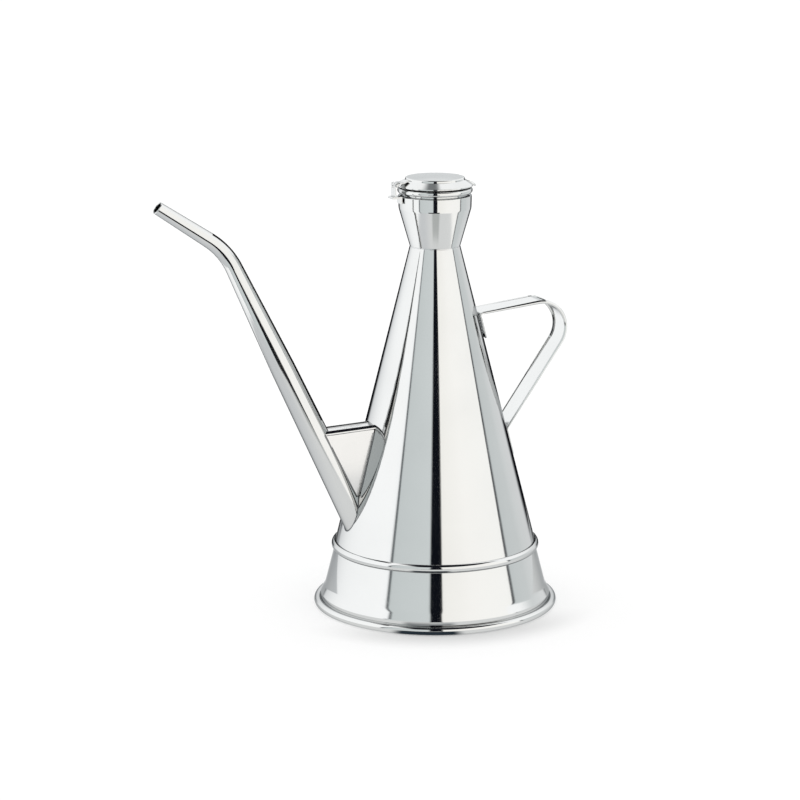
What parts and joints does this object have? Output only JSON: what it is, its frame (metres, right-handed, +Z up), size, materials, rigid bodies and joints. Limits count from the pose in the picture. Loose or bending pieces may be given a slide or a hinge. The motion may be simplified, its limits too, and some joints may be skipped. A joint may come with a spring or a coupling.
{
  "type": "stainless steel oil can",
  "caption": "Cone-shaped steel oil can with a long bent pouring spout, a hinged lid over its filler cup and a strap handle.",
  "frame": {"origin": "bottom centre of the bounding box, on the surface the can stands on", "axes": "+Z up along the can's axis, -X towards the spout's mouth, +X towards the handle, Y across"},
  "size_m": [0.1924, 0.1098, 0.1948],
  "materials": {
    "cone_steel": "mirror polished stainless steel, faint lengthwise polish",
    "skirt_steel": "mirror polished stainless steel, turned",
    "pan_steel": "dull rolled stainless steel",
    "cup_steel": "mirror polished stainless steel, turned",
    "lid_steel": "mirror polished stainless steel, pressed",
    "hinge_steel": "bright stainless strip with cut edges",
    "pin_steel": "bright steel wire with peened heads",
    "spout_steel": "polished stainless steel tube, faint lengthwise polish",
    "gusset_steel": "polished folded stainless sheet",
    "strap_steel": "polished stainless strip, faint lengthwise polish"
  },
  "bodies": {
    "can": {"cone_body": "cone_steel", "foot_skirt": "skirt_steel", "bottom_pan": "pan_steel", "filler_cup": "cup_steel", "hinge_bracket": "hinge_steel", "hinge_pin": "pin_steel", "spout": "spout_steel", "spout_gusset": "gusset_steel", "handle_strap": "strap_steel"},
    "lid": {"lid": "lid_steel", "lid_hinge_leaf": "hinge_steel"}
  },
  "joints": [
    {"name": "lid_hinge", "type": "hinge", "parent": "can", "child": "lid", "pos_m": [0.015, 0, 0.19216], "axis": [0, -1, 0], "range_deg": [0, 110]}
  ]
}
